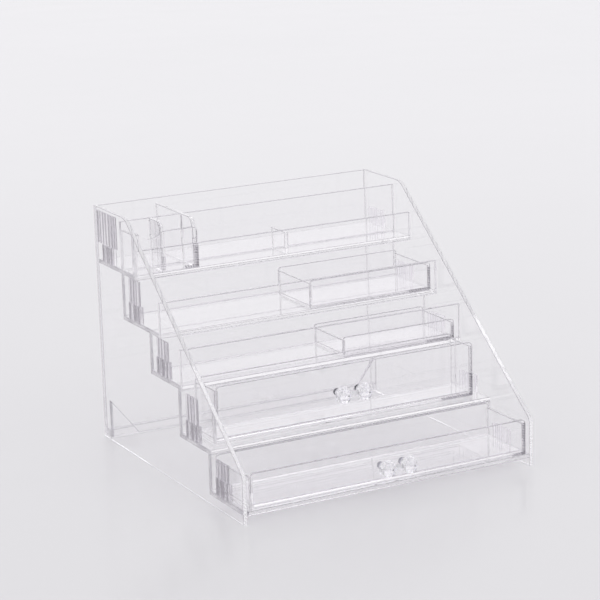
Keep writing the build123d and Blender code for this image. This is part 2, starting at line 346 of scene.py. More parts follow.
def surface_wear_group():
    """Faint handled patches, hairline scratches and the slow waves of cast sheet."""
    group, given, result = group_with(
        "surface_wear",
        [
            ("Patch scale", "NodeSocketFloat", 14.0),
            ("Scratch scale", "NodeSocketFloat", 60.0),
            ("Wave scale", "NodeSocketFloat", 18.0),
        ],
        [("Patches", "NodeSocketFloat"), ("Scratches", "NodeSocketFloat"),
         ("Waves", "NodeSocketFloat")],
    )
    place = node(group, "ShaderNodeTexCoord").outputs["Object"]

    patches = fill(node(group, "ShaderNodeTexNoise"), Detail=4.0, Roughness=0.55)
    link(group, place, patches.inputs["Vector"])
    link(group, given.outputs["Patch scale"], patches.inputs["Scale"])
    link(group, ranged(group, patches.outputs["Fac"], 0.56, 0.72), result.inputs["Patches"])

    stretched = node(group, "ShaderNodeMapping")
    stretched.inputs["Rotation"].default_value = (radians(34), radians(21), radians(47))
    stretched.inputs["Scale"].default_value = (1.0, 26.0, 26.0)
    link(group, place, stretched.inputs["Vector"])
    hairs = fill(node(group, "ShaderNodeTexNoise"), Detail=1.0, Roughness=0.4)
    link(group, stretched.outputs["Vector"], hairs.inputs["Vector"])
    link(group, given.outputs["Scratch scale"], hairs.inputs["Scale"])
    link(group, ranged(group, hairs.outputs["Fac"], 0.74, 0.80), result.inputs["Scratches"])

    waves = fill(node(group, "ShaderNodeTexNoise"), Detail=1.0, Roughness=0.4)
    link(group, place, waves.inputs["Vector"])
    link(group, given.outputs["Wave scale"], waves.inputs["Scale"])
    link(group, waves.outputs["Fac"], result.inputs["Waves"])
    return group


def cement_line_group():
    """Dashes of dried cement inside a box-shaped stretch of a glued joint."""
    group, given, result = group_with(
        "cement_line",
        [
            ("Centre", "NodeSocketVector", (0, 0, 0)),
            ("Half size", "NodeSocketVector", (0.01, 0.01, 0.01)),
            ("Dash direction", "NodeSocketVector", (1, 0, 0)),
            ("Dash pitch", "NodeSocketFloat", 0.0023),
            ("Between dashes", "NodeSocketFloat", 0.0),
        ],
        [("Mask", "NodeSocketFloat")],
    )
    place = node(group, "ShaderNodeTexCoord").outputs["Object"]
    offset = node(group, "ShaderNodeVectorMath", operation="SUBTRACT")
    link(group, place, offset.inputs[0])
    link(group, given.outputs["Centre"], offset.inputs[1])
    away = node(group, "ShaderNodeVectorMath", operation="ABSOLUTE")
    link(group, offset.outputs["Vector"], away.inputs[0])
    beyond = node(group, "ShaderNodeVectorMath", operation="SUBTRACT")
    link(group, away.outputs["Vector"], beyond.inputs[0])
    link(group, given.outputs["Half size"], beyond.inputs[1])
    split = node(group, "ShaderNodeSeparateXYZ")
    link(group, beyond.outputs["Vector"], split.inputs["Vector"])
    furthest = maths(group, "MAXIMUM", split.outputs["X"], split.outputs["Y"])
    furthest = maths(group, "MAXIMUM", furthest, split.outputs["Z"])
    inside = maths(group, "LESS_THAN", furthest, 0.0)
    along = node(group, "ShaderNodeVectorMath", operation="DOT_PRODUCT")
    link(group, place, along.inputs[0])
    link(group, given.outputs["Dash direction"], along.inputs[1])
    uneven = fill(node(group, "ShaderNodeTexNoise"), Scale=260.0, Detail=2.0)
    link(group, place, uneven.inputs["Vector"])
    turns = maths(group, "DIVIDE", along.outputs["Value"], given.outputs["Dash pitch"])
    turns = maths(group, "ADD", turns, uneven.outputs["Fac"])
    wave = maths(group, "SINE", maths(group, "MULTIPLY", turns, 2 * pi))
    dashes = ranged(group, wave, -0.45, 0.35)
    dashes = maths(group, "MAXIMUM", dashes, given.outputs["Between dashes"])
    link(group, maths(group, "MULTIPLY", inside, dashes), result.inputs["Mask"])
    return group


def shared(name, build):
    """Returns the group of this name, built the first time it is asked for."""
    return bpy.data.node_groups.get(name) or build()


def place_group(tree, name, build, **values):
    """Puts a shared group into a material with the material's own values."""
    made = node(tree, "ShaderNodeGroup", node_tree=shared(name, build))
    return fill(made, **values)


def new_material(name):
    """New node material; returns it with its tree and its main shader."""
    material = bpy.data.materials.new(name)
    material.use_nodes = True
    tree = material.node_tree
    return material, tree, tree.nodes["Principled BSDF"]


def let_light_through(tree, shader, shade, trapped, depth):
    """Makes light on its way to the floor cross a clear piece, and trapped light come out pale."""
    path = node(tree, "ShaderNodeLightPath")
    straight = maths(
        tree, "MAXIMUM", path.outputs["Is Shadow Ray"], path.outputs["Is Diffuse Ray"],
    )
    through = node(tree, "ShaderNodeBsdfTransparent")
    through.inputs["Color"].default_value = (*shade, 1)
    glow = node(tree, "ShaderNodeEmission")
    glow.inputs["Color"].default_value = (*trapped, 1)
    late = maths(tree, "GREATER_THAN", path.outputs["Ray Depth"], depth)
    trapped_mix = node(tree, "ShaderNodeMixShader")
    link(tree, late, trapped_mix.inputs["Fac"])
    link(tree, shader.outputs["BSDF"], trapped_mix.inputs[1])
    link(tree, glow.outputs["Emission"], trapped_mix.inputs[2])
    shadow_mix = node(tree, "ShaderNodeMixShader")
    link(tree, straight, shadow_mix.inputs["Fac"])
    link(tree, trapped_mix.outputs["Shader"], shadow_mix.inputs[1])
    link(tree, through.outputs["BSDF"], shadow_mix.inputs[2])
    link(tree, shadow_mix.outputs["Shader"], tree.nodes["Material Output"].inputs["Surface"])


def cement_mask(tree, stretches):
    """Mask of all the cement marks of one material, or nothing."""
    mask = None
    for centre, half_size, direction, between in stretches:
        marks = place_group(
            tree, "cement_line", cement_line_group,
            Centre=centre, Half_size=half_size, Dash_direction=direction,
            Between_dashes=between,
        ).outputs["Mask"]
        mask = marks if mask is None else maths(tree, "MAXIMUM", mask, marks)
    return mask


def sheet_material(name, axis, look, patch_scale, stretches=()):
    """Clear polished sheet with satin cut edges, painted shade on its eased corners and on the cut
    edges of sheets thinnest along Y, and cement marks where it is glued.
    """
    material, tree, shader = new_material(name)
    fill(shader, IOR=look.index, Transmission_Weight=1.0)
    edge = place_group(tree, "cut_edge", cut_edge_group, Sheet_axis=AXES[axis])
    wear = place_group(tree, "surface_wear", surface_wear_group, Patch_scale=patch_scale)
    colour = node(tree, "ShaderNodeMix", data_type="RGBA")
    colour.inputs[6].default_value = (*look.tint, 1)
    # Sheets thinnest along Y get painted shade on their cut edges; the others keep a near-clear
    # edge colour
    edge_shade_tint = look.edge_shade_tint if axis == "y" else look.bright_cut_colour
    colour.inputs[7].default_value = (*edge_shade_tint, 1)
    link(tree, edge.outputs["Mask"], colour.inputs[0])
    cement = cement_mask(tree, stretches)
    # Painted shade: the eased corners are darkened in the base colour
    eased = node(tree, "ShaderNodeMix", data_type="RGBA")
    link(tree, edge.outputs["Arris"], eased.inputs[0])
    link(tree, colour.outputs[2], eased.inputs[6])
    eased.inputs[7].default_value = (*look.arris_shade_tint, 1)
    finish = eased.outputs[2]
    cut = maths(tree, "MAXIMUM", edge.outputs["Mask"], edge.outputs["Arris"])
    satin = maths(tree, "MULTIPLY", cut, look.edge_roughness)
    dull = maths(tree, "MULTIPLY", wear.outputs["Patches"], look.smudge_roughness)
    rough = maths(tree, "MAXIMUM", satin, dull)
    if cement:
        glued = node(tree, "ShaderNodeMix", data_type="RGBA")
        link(tree, cement, glued.inputs[0])
        link(tree, finish, glued.inputs[6])
        glued.inputs[7].default_value = (*look.cement_tint, 1)
        finish = glued.outputs[2]
        dried = maths(tree, "MULTIPLY", cement, CEMENT_ROUGHNESS)
        rough = maths(tree, "MAXIMUM", rough, dried)
    # The base colour holds the painted shade of the cut edges and eased corners, and the cement
    # marks
    link(tree, finish, shader.inputs["Base Color"])
    link(tree, rough, shader.inputs["Roughness"])
    marks = maths(tree, "MULTIPLY", edge.outputs["Mask"], edge.outputs["Marks"])
    marks = maths(tree, "MULTIPLY", marks, SAW_MARK_HEIGHT)
    face = maths(tree, "SUBTRACT", 1.0, edge.outputs["Mask"])
    relief = maths(tree, "ADD", marks, maths(tree, "MULTIPLY", face, wear.outputs["Waves"]))
    hairs = maths(tree, "MULTIPLY", wear.outputs["Scratches"], SCRATCH_HEIGHT)
    bump = node(tree, "ShaderNodeBump")
    fill(bump, Strength=1.0, Distance=0.00008)
    link(tree, maths(tree, "ADD", relief, hairs), bump.inputs["Height"])
    link(tree, bump.outputs["Normal"], shader.inputs["Normal"])
    let_light_through(tree, shader, SHEET_SHADE, look.trapped_tint, SHEET_DEPTH)
    return material


def moulded_material(name, look, tint, spread, bar_pitch):
    """Clear moulded plastic with darker upright bars and flow lines; they darken towards the given
    tint, which on the left clips and strips is painted shade.
    """
    material, tree, shader = new_material(name)
    fill(shader, IOR=look.index, Transmission_Weight=1.0)
    wear = place_group(tree, "surface_wear", surface_wear_group, Patch_scale=90.0)
    place = node(tree, "ShaderNodeTexCoord")
    upright = node(tree, "ShaderNodeMapping")
    upright.inputs["Scale"].default_value = (1.0, 1.0, 0.04)
    link(tree, place.outputs["Object"], upright.inputs["Vector"])
    flow = fill(node(tree, "ShaderNodeTexNoise"), Scale=spread, Detail=3.0, Roughness=0.6)
    link(tree, upright.outputs["Vector"], flow.inputs["Vector"])
    streaks = ranged(tree, flow.outputs["Fac"], 0.50, 0.62, 0.0, 0.6)
    split = node(tree, "ShaderNodeSeparateXYZ")
    link(tree, place.outputs["Object"], split.inputs["Vector"])
    turns = maths(tree, "MULTIPLY", split.outputs["Y"], 2 * pi / bar_pitch)
    uneven = maths(tree, "MULTIPLY", flow.outputs["Fac"], BAR_UNEVENNESS)
    turns = maths(tree, "ADD", turns, uneven)
    bars = ranged(tree, maths(tree, "SINE", turns), -0.7, 1.0)
    colour = node(tree, "ShaderNodeMix", data_type="RGBA")
    colour.inputs[6].default_value = (*CLEAR_MOULDING, 1)
    colour.inputs[7].default_value = (*tint, 1)
    link(tree, maths(tree, "MAXIMUM", streaks, bars), colour.inputs[0])
    link(tree, colour.outputs[2], shader.inputs["Base Color"])
    link(tree, maths(tree, "MULTIPLY", wear.outputs["Patches"], 0.1), shader.inputs["Roughness"])
    bump = fill(node(tree, "ShaderNodeBump"), Strength=1.0, Distance=0.0002)
    link(tree, flow.outputs["Fac"], bump.inputs["Height"])
    link(tree, bump.outputs["Normal"], shader.inputs["Normal"])
    let_light_through(tree, shader, MOULDING_SHADE, MOULDING_GLOW, SMALL_PART_DEPTH)
    return material


def crystal_material(name, pulls, satin):
    """Clear faceted plastic with a trace of wear on its facets."""
    material, tree, shader = new_material(name)
    fill(shader, IOR=pulls.crystal_index, Transmission_Weight=1.0)
    wear = place_group(
        tree, "surface_wear", surface_wear_group, Patch_scale=220.0, Scratch_scale=260.0,
    )
    colour = node(tree, "ShaderNodeMix", data_type="RGBA")
    colour.inputs[6].default_value = (*pulls.crystal_tint, 1)
    colour.inputs[7].default_value = (*WORN_CRYSTAL, 1)
    link(tree, wear.outputs["Patches"], colour.inputs[0])
    link(tree, colour.outputs[2], shader.inputs["Base Color"])
    rough = maths(tree, "MULTIPLY_ADD", wear.outputs["Scratches"], 0.05)
    rough.node.inputs[2].default_value = satin
    link(tree, rough, shader.inputs["Roughness"])
    let_light_through(tree, shader, CRYSTAL_SHADE, CRYSTAL_GLOW, SMALL_PART_DEPTH)
    return material


def metal_material(name, pulls):
    """Bright turned metal with rings from the lathe and dull worn spots."""
    material, tree, shader = new_material(name)
    fill(shader, Metallic=1.0)
    wear = place_group(
        tree, "surface_wear", surface_wear_group, Patch_scale=420.0, Scratch_scale=900.0,
    )
    colour = node(tree, "ShaderNodeMix", data_type="RGBA")
    colour.inputs[6].default_value = (*pulls.metal_tint, 1)
    colour.inputs[7].default_value = (*WORN_METAL, 1)
    link(tree, wear.outputs["Patches"], colour.inputs[0])
    link(tree, colour.outputs[2], shader.inputs["Base Color"])
    rough = maths(tree, "MULTIPLY_ADD", wear.outputs["Patches"], 0.25)
    rough.node.inputs[2].default_value = 0.16
    link(tree, rough, shader.inputs["Roughness"])
    bump = fill(node(tree, "ShaderNodeBump"), Strength=0.4, Distance=0.00003)
    link(tree, wear.outputs["Scratches"], bump.inputs["Height"])
    link(tree, bump.outputs["Normal"], shader.inputs["Normal"])
    return material


def dress(node_name, material):
    """Gives one CAD node its finish."""
    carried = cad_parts[node_name]
    carried.data.materials.clear()
    carried.data.materials.append(material)


def thin_axis(node_name):
    """Axis along which a sheet is thinnest."""
    low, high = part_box(node_name)
    return min(AXES, key=lambda axis: (high - low).dot(Vector(AXES[axis])))


def corner_stretches(node_name, run, rise, thick=0.0028):
    """Cement marks along the bottom of an upright sheet's right end, and up that end."""
    low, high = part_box(node_name)
    middle_y = (low.y + high.y) / 2
    half_y = (high.y - low.y) / 2 + MARK_MARGIN
    bottom = Vector((high.x - run / 2, middle_y, low.z + thick / 2))
    upright = Vector((high.x - thick / 2, middle_y, low.z + rise / 2))
    return (
        (bottom, Vector((run / 2, half_y, thick / 2)), (0.9, 0.0, 0.45), 0.0),
        (upright, Vector((thick / 2, half_y, rise / 2)), (0.3, 0.0, 0.95), 0.0),
    )


def left_end_stretch(node_name, thick=0.0014):
    """Cement marks along the left end of a shelf or riser."""
    low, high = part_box(node_name)
    middle = (low + high) / 2
    half = (high - low) / 2 + Vector.Fill(3, MARK_MARGIN)
    centre = Vector((low.x + thick / 2, middle.y, middle.z))
    return ((centre, Vector((thick / 2, half.y, half.z)), (0.0, 0.06, 0.06), 0.75),)


def front_end_stretch(node_name, rise, thick=0.0024):
    """Cement marks up the front end of an upright divider."""
    low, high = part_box(node_name)
    middle_x = (low.x + high.x) / 2
    half_x = (high.x - low.x) / 2 + MARK_MARGIN
    centre = Vector((middle_x, low.y + thick / 2, low.z + rise / 2))
    return (centre, Vector((half_x, thick / 2, rise / 2)), (0.0, 0.0, 1.0), 0.0)


def crossing_stretch(node_name, crossed):
    """Cement marks where one divider crosses another, over the whole height."""
    low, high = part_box(node_name)
    near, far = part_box(crossed)
    centre = Vector(((low.x + high.x) / 2, (near.y + far.y) / 2, (low.z + high.z) / 2))
    half_x = (high.x - low.x) / 2 + MARK_MARGIN
    half = Vector((half_x, (far.y - near.y) / 2, (high.z - low.z) / 2))
    return (centre, half, (0.0, 0.10, 0.10), 0.0)


def cement_stretches(name):
    """Where one sheet shows dried cement."""
    if name in CEMENT_CORNERS:
        return corner_stretches(name, *CEMENT_CORNERS[name])
    if name in CEMENTED_ENDS:
        return left_end_stretch(name)
    if name == "tier_1_long_divider":
        return (front_end_stretch(name, 0.024), crossing_stretch(name, "tier_1_partition"))
    if name == "tier_1_small_divider":
        return (front_end_stretch(name, 0.014),)
    return ()


def dress_sheets(names, label, look, patch_scale):
    """Gives flat sheets a finish that knows which of their faces are cut edges."""
    finishes = {}
    for name in names:
        axis = thin_axis(name)
        stretches = cement_stretches(name)
        key = name if stretches else f"{label}_{axis}"
        if key not in finishes:
            finishes[key] = sheet_material(key, axis, look, patch_scale, stretches)
        dress(name, finishes[key])


def sheets_of(*bodies):
    """CAD nodes of these bodies that are flat sheets."""
    names = []
    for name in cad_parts:
        owner = next((body for body in bodies if name.startswith(body + "_")), None)
        plain = not name.endswith(CRYSTAL_ENDINGS + ("_pull_screws",))
        if owner and plain:
            names.append(name)
    return names


def case_sheets():
    """CAD nodes of the fixed case that are flat sheets."""
    return [
        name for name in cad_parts
        if name not in CLIP_NODES
        and not name.startswith(tuple(body + "_" for body in LOOSE_BODIES))
    ]


def screw_inputs(tree):
    """Gives the screws' tree its named sizes and returns them as sockets."""
    sizes = (
        "Shank radius", "Thread depth", "Thread pitch", "Shank length", "Head radius",
        "Head height", "Head bevel", "Recess depth", "Recess width", "Spacing",
    )
    for label in sizes:
        tree.interface.new_socket(label, in_out="INPUT", socket_type="NodeSocketFloat")
    tree.interface.new_socket("Sides", in_out="INPUT", socket_type="NodeSocketInt")
    tree.interface.new_socket("Metal", in_out="INPUT", socket_type="NodeSocketMaterial")
    tree.interface.new_socket("Geometry", in_out="OUTPUT", socket_type="NodeSocketGeometry")
    return node(tree, "NodeGroupInput").outputs


def raised(tree, geometry, up):
    """Moves geometry up by a socket's value."""
    shift = node(tree, "GeometryNodeTransform")
    place = node(tree, "ShaderNodeCombineXYZ")
    link(tree, up, place.inputs["Z"])
    link(tree, geometry, shift.inputs["Geometry"])
    link(tree, place.outputs["Vector"], shift.inputs["Translation"])
    return shift.outputs["Geometry"]


def turned_part(tree, sides, low_radius, top_radius, height, base=None):
    """Round solid that stands on the origin or on the given height."""
    cone = node(tree, "GeometryNodeMeshCone")
    for label, value in (
        ("Vertices", sides), ("Radius Bottom", low_radius),
        ("Radius Top", top_radius), ("Depth", height),
    ):
        link(tree, value, cone.inputs[label])
    solid = cone.outputs["Mesh"]
    return solid if base is None else raised(tree, solid, base)


def thread_ridge(tree, given, core_radius):
    """Helical ridge swept along a spiral round the shank."""
    length = given["Shank length"]
    spiral = node(tree, "GeometryNodeCurveSpiral")
    spiral.inputs["Resolution"].default_value = 20
    turns = maths(tree, "DIVIDE", length, given["Thread pitch"])
    link(tree, turns, spiral.inputs["Rotations"])
    link(tree, core_radius, spiral.inputs["Start Radius"])
    link(tree, core_radius, spiral.inputs["End Radius"])
    link(tree, maths(tree, "MULTIPLY", length, THREADED_SHARE), spiral.inputs["Height"])
    profile = node(tree, "GeometryNodeCurvePrimitiveCircle")
    profile.inputs["Resolution"].default_value = 4
    ridge = maths(tree, "MULTIPLY", given["Thread depth"], RIDGE_SHARE)
    link(tree, ridge, profile.inputs["Radius"])
    sweep = node(tree, "GeometryNodeCurveToMesh")
    sweep.inputs["Fill Caps"].default_value = True
    link(tree, spiral.outputs["Curve"], sweep.inputs["Curve"])
    link(tree, profile.outputs["Curve"], sweep.inputs["Profile Curve"])
    return raised(tree, sweep.outputs["Mesh"], maths(tree, "MULTIPLY", length, THREAD_START))


def recessed_head(tree, given):
    """Bevelled head with a cross recess cut into it."""
    base = given["Shank length"]
    straight = maths(tree, "SUBTRACT", given["Head height"], given["Head bevel"])
    narrow = maths(tree, "SUBTRACT", given["Head radius"], given["Head bevel"])
    shoulder = maths(tree, "ADD", base, straight)
    top = maths(tree, "ADD", base, given["Head height"])
    sides = given["Sides"]
    drum = turned_part(tree, sides, given["Head radius"], given["Head radius"], straight, base)
    crown = turned_part(tree, sides, given["Head radius"], narrow, given["Head bevel"], shoulder)
    joined = node(tree, "GeometryNodeMeshBoolean", operation="UNION", solver="EXACT")
    for part in (drum, crown):
        link(tree, part, joined.inputs["Mesh 2"])
    cut = node(tree, "GeometryNodeMeshBoolean", operation="DIFFERENCE", solver="EXACT")
    link(tree, joined.outputs["Mesh"], cut.inputs["Mesh 1"])
    arm = maths(tree, "MULTIPLY", given["Head radius"], RECESS_ARM)
    deep = maths(tree, "MULTIPLY", given["Recess depth"], 2.0)
    for width, length in ((given["Recess width"], arm), (arm, given["Recess width"])):
        blade = node(tree, "GeometryNodeMeshCube")
        size = node(tree, "ShaderNodeCombineXYZ")
        for place, value in enumerate((width, length, deep)):
            link(tree, value, size.inputs[place])
        link(tree, size.outputs["Vector"], blade.inputs["Size"])
        link(tree, raised(tree, blade.outputs["Mesh"], top), cut.inputs["Mesh 2"])
    return cut.outputs["Mesh"]


def screw_tree():
    """Geometry tree of a pair of threaded screws with cross recesses, along Y."""
    tree = bpy.data.node_groups.new("screw_pair", "GeometryNodeTree")
    given = screw_inputs(tree)
    core_radius = maths(tree, "SUBTRACT", given["Shank radius"], given["Thread depth"])
    buried = maths(tree, "MULTIPLY_ADD", given["Head height"], SHANK_IN_HEAD)
    link(tree, given["Shank length"], buried.node.inputs[2])
    screw = node(tree, "GeometryNodeJoinGeometry")
    parts = (
        turned_part(tree, given["Sides"], core_radius, core_radius, buried),
        thread_ridge(tree, given, core_radius),
        recessed_head(tree, given),
    )
    for part in parts:
        link(tree, part, screw.inputs["Geometry"])
    lying = node(tree, "GeometryNodeTransform")
    lying.inputs["Rotation"].default_value = (radians(-90), 0, 0)
    link(tree, screw.outputs["Geometry"], lying.inputs["Geometry"])
    line = node(tree, "GeometryNodeMeshLine", mode="END_POINTS")
    line.inputs["Count"].default_value = 2
    for side, socket in ((-0.5, "Start Location"), (0.5, "Offset")):
        end = node(tree, "ShaderNodeCombineXYZ")
        link(tree, maths(tree, "MULTIPLY", given["Spacing"], side), end.inputs["X"])
        link(tree, end.outputs["Vector"], line.inputs[socket])
    copies = node(tree, "GeometryNodeInstanceOnPoints")
    link(tree, line.outputs["Mesh"], copies.inputs["Points"])
    link(tree, lying.outputs["Geometry"], copies.inputs["Instance"])
    real = node(tree, "GeometryNodeRealizeInstances")
    link(tree, copies.outputs["Instances"], real.inputs["Geometry"])
    metal = node(tree, "GeometryNodeSetMaterial")
    link(tree, real.outputs["Geometry"], metal.inputs["Geometry"])
    link(tree, given["Metal"], metal.inputs["Material"])
    link(tree, metal.outputs["Geometry"], node(tree, "NodeGroupOutput").inputs["Geometry"])
    return tree


def run_tree(name, tree, values):
    """Runs a geometry tree with these inputs and returns the plain mesh that it makes."""
    carrier = bpy.data.objects.new(name + "_maker", bpy.data.meshes.new(name + "_maker"))
    bpy.context.scene.collection.objects.link(carrier)
    modifier = carrier.modifiers.new("maker", "NODES")
    modifier.node_group = tree
    for item in tree.interface.items_tree:
        if item.in_out == "INPUT":
            modifier[item.identifier] = values[item.name]
    bpy.context.view_layer.update()
    evaluated = carrier.evaluated_get(bpy.context.evaluated_depsgraph_get())
    mesh = bpy.data.meshes.new_from_object(evaluated)
    mesh.name = name
    bpy.data.objects.remove(carrier)
    if not mesh.polygons:
        raise RuntimeError(name + " came out empty")
    return mesh


def screw_values(node_name, pulls, metal):
    """Sizes of a drawer's screws, from the CAD node that they stand for."""
    low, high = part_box(node_name)
    size = high - low
    head_diameter = size.z
    return {
        "Shank radius": pulls.shank_diameter / 2,
        "Thread depth": pulls.thread_depth,
        "Thread pitch": pulls.thread_pitch,
        "Shank length": size.y - pulls.head_height,
        "Head radius": head_diameter / 2,
        "Head height": pulls.head_height,
        "Head bevel": pulls.head_height / 3,
        "Recess depth": pulls.recess_depth,
        "Recess width": pulls.recess_width,
        "Spacing": size.x - head_diameter,
        "Sides": pulls.facets,
        "Metal": metal,
    }


def strip_tree():
    """Geometry tree of an upright fluted strip whose flat back faces the left cheek."""
    tree = bpy.data.node_groups.new("fluted_strip", "GeometryNodeTree")
    for label in ("Width", "Height", "Base", "Rib depth"):
        tree.interface.new_socket(label, in_out="INPUT", socket_type="NodeSocketFloat")
    tree.interface.new_socket("Ribs", in_out="INPUT", socket_type="NodeSocketInt")
    tree.interface.new_socket("Plastic", in_out="INPUT", socket_type="NodeSocketMaterial")
    tree.interface.new_socket("Geometry", in_out="OUTPUT", socket_type="NodeSocketGeometry")
    given = node(tree, "NodeGroupInput").outputs
    steps = 8.0
    columns = maths(tree, "MULTIPLY_ADD", given["Ribs"], steps)
    columns.node.inputs[2].default_value = 1.0
    grid = node(tree, "GeometryNodeMeshGrid")
    grid.inputs["Vertices Y"].default_value = 2
    link(tree, columns, grid.inputs["Vertices X"])
    link(tree, given["Width"], grid.inputs["Size X"])
    link(tree, given["Height"], grid.inputs["Size Y"])
    split = node(tree, "ShaderNodeSeparateXYZ")
    link(tree, node(tree, "GeometryNodeInputPosition").outputs[0], split.inputs["Vector"])
    along = maths(tree, "DIVIDE", split.outputs["X"], given["Width"])
    along = maths(tree, "MULTIPLY", maths(tree, "ADD", along, 0.5), given["Ribs"])
    rib = maths(tree, "ABSOLUTE", maths(tree, "SINE", maths(tree, "MULTIPLY", along, pi)))
    level = maths(tree, "MULTIPLY", rib, given["Rib depth"])
    lift = node(tree, "ShaderNodeCombineXYZ")
    link(tree, maths(tree, "ADD", level, given["Base"]), lift.inputs["Z"])
    fluted = node(tree, "GeometryNodeSetPosition")
    link(tree, grid.outputs["Mesh"], fluted.inputs["Geometry"])
    link(tree, lift.outputs["Vector"], fluted.inputs["Offset"])
    body = node(tree, "GeometryNodeExtrudeMesh", mode="FACES")
    body.inputs["Individual"].default_value = False
    body.inputs["Offset"].default_value = (0, 0, -1)
    body.inputs["Offset Scale"].default_value = 0.0001
    link(tree, fluted.outputs["Geometry"], body.inputs["Mesh"])
    flat = node(tree, "ShaderNodeCombineXYZ")
    link(tree, split.outputs["X"], flat.inputs["X"])
    link(tree, split.outputs["Y"], flat.inputs["Y"])
    backed = node(tree, "GeometryNodeSetPosition")
    link(tree, body.outputs["Mesh"], backed.inputs["Geometry"])
    link(tree, body.outputs["Top"], backed.inputs["Selection"])
    link(tree, flat.outputs["Vector"], backed.inputs["Position"])
    outward = node(tree, "GeometryNodeFlipFaces")
    link(tree, backed.outputs["Geometry"], outward.inputs["Mesh"])
    whole = node(tree, "GeometryNodeJoinGeometry")
    link(tree, outward.outputs["Mesh"], whole.inputs["Geometry"])
    link(tree, fluted.outputs["Geometry"], whole.inputs["Geometry"])
    closed = node(tree, "GeometryNodeMergeByDistance")
    closed.inputs["Distance"].default_value = 0.00001
    link(tree, whole.outputs["Geometry"], closed.inputs["Geometry"])
    upright = node(tree, "GeometryNodeTransform")
    upright.inputs["Rotation"].default_value = (radians(90), 0, radians(90))
    link(tree, closed.outputs["Geometry"], upright.inputs["Geometry"])
    real = node(tree, "GeometryNodeRealizeInstances")
    link(tree, upright.outputs["Geometry"], real.inputs["Geometry"])
    plastic = node(tree, "GeometryNodeSetMaterial")
    link(tree, real.outputs["Geometry"], plastic.inputs["Geometry"])
    link(tree, given["Plastic"], plastic.inputs["Material"])
    link(tree, plastic.outputs["Geometry"], node(tree, "NodeGroupOutput").inputs["Geometry"])
    return tree


def tier_depth():
    """Distance from one riser to the next."""
    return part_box("riser_2")[0].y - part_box("riser_3")[0].y


def strip_places():
    """Lowest and highest corners, along Y and Z, of the fluted strip of each tier."""
    places = []
    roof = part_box("left_side_panel")[1].z - STRIP_ROOF_GAP
    near, far = TOP_STRIP_REACH
    for back, floor in zip(("back_panel",) + RISER_TIERS, SHELF_TIERS):
        back_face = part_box(back)[0].y
        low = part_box(floor)[1].z + CLIP_TOP
        places.append(((back_face - near, low), (back_face - far, roof)))
        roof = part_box(floor)[0].z - STRIP_CLEARANCE
        near, far = STRIP_REACH
    return places


class OBJECT_OT_organizer_flutes(bpy.types.Operator):
    """Makes the fluted strips above the shelf clips on the left cheek"""

    bl_idname = "object.organizer_flutes"
    bl_label = "Make fluted strips"

    def execute(self, context):
        look = context.scene.organizer_sheet
        # The strips' darker bars are painted shade
        plastic = moulded_material(
            "fluted_strip", look, look.left_moulding_shade_tint, spread=260.0, bar_pitch=tier_depth() / 9,
        )
        tree = strip_tree()
        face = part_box("left_side_panel")[1].x + CHEEK_GAP
        joined = bmesh.new()
        for low, high in strip_places():
            width = high[0] - low[0]
            mesh = run_tree("strip", tree, {
                "Width": width, "Height": high[1] - low[1], "Base": look.strip_base,
                "Rib depth": look.flute_depth, "Ribs": round(width / look.flute_pitch),
                "Plastic": plastic,
            })
            middle = (face, (low[0] + high[0]) / 2, (low[1] + high[1]) / 2)
            mesh.transform(Matrix.Translation(middle))
            joined.from_mesh(mesh)
            bpy.data.meshes.remove(mesh)
        mesh = bpy.data.meshes.new("fluted_strips")
        joined.to_mesh(mesh)
        joined.free()
        mesh.materials.append(plastic)
        strips = bpy.data.objects.new("fluted_strips", mesh)
        context.scene.collection.objects.link(strips)
        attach(strips, "case")
        return {"FINISHED"}


class OBJECT_OT_organizer_case(bpy.types.Operator):
    """Gives the case's sheets, dividers, gussets and rail their polished finish"""

    bl_idname = "object.organizer_case"
    bl_label = "Finish case"

    def execute(self, context):
        look = context.scene.organizer_sheet
        dress_sheets(case_sheets(), "case_sheet", look, patch_scale=9.0)
        return {"FINISHED"}


class OBJECT_OT_organizer_clips(bpy.types.Operator):
    """Gives the ribbed shelf clips their moulded finish"""

    bl_idname = "object.organizer_clips"
    bl_label = "Finish shelf clips"

    def execute(self, context):
        look = context.scene.organizer_sheet
        for name in CLIP_NODES:
            # The left clips take painted shade in their colour; the right clips stay near clear
            tint = look.left_moulding_shade_tint if name.startswith("left") else look.right_clip_tint
            dress(name, moulded_material(
                name + "_moulding", look, tint, spread=420.0, bar_pitch=tier_depth() / 6,
            ))
        return {"FINISHED"}


class OBJECT_OT_organizer_drawers(bpy.types.Operator):
    """Gives the drawers' walls and floors their polished finish"""

    bl_idname = "object.organizer_drawers"
    bl_label = "Finish drawers"

    def execute(self, context):
        look = context.scene.organizer_sheet
        dress_sheets(sheets_of(*SCREWED_DRAWERS), "drawer_sheet", look, patch_scale=17.0)
        return {"FINISHED"}


class OBJECT_OT_organizer_trays(bpy.types.Operator):
    """Gives the loose trays their polished finish"""

    bl_idname = "object.organizer_trays"
    bl_label = "Finish trays"

    def execute(self, context):
        look = context.scene.organizer_sheet
        dress_sheets(sheets_of(*TRAYS), "tray_sheet", look, patch_scale=23.0)
        return {"FINISHED"}


class OBJECT_OT_organizer_pulls(bpy.types.Operator):
    """Gives the faceted balls and the bars between them their crystal finish"""

    bl_idname = "object.organizer_pulls"
    bl_label = "Finish pulls"

    def execute(self, context):
        pulls = context.scene.organizer_pulls
        finishes = {
            "_pull_balls": crystal_material("pull_crystal", pulls, satin=0.0),
            "_pull_bar": crystal_material("pull_bar_crystal", pulls, satin=0.35),
        }
        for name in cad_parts:
            for ending in CRYSTAL_ENDINGS:
                if name.endswith(ending):
                    dress(name, finishes[ending])
        return {"FINISHED"}


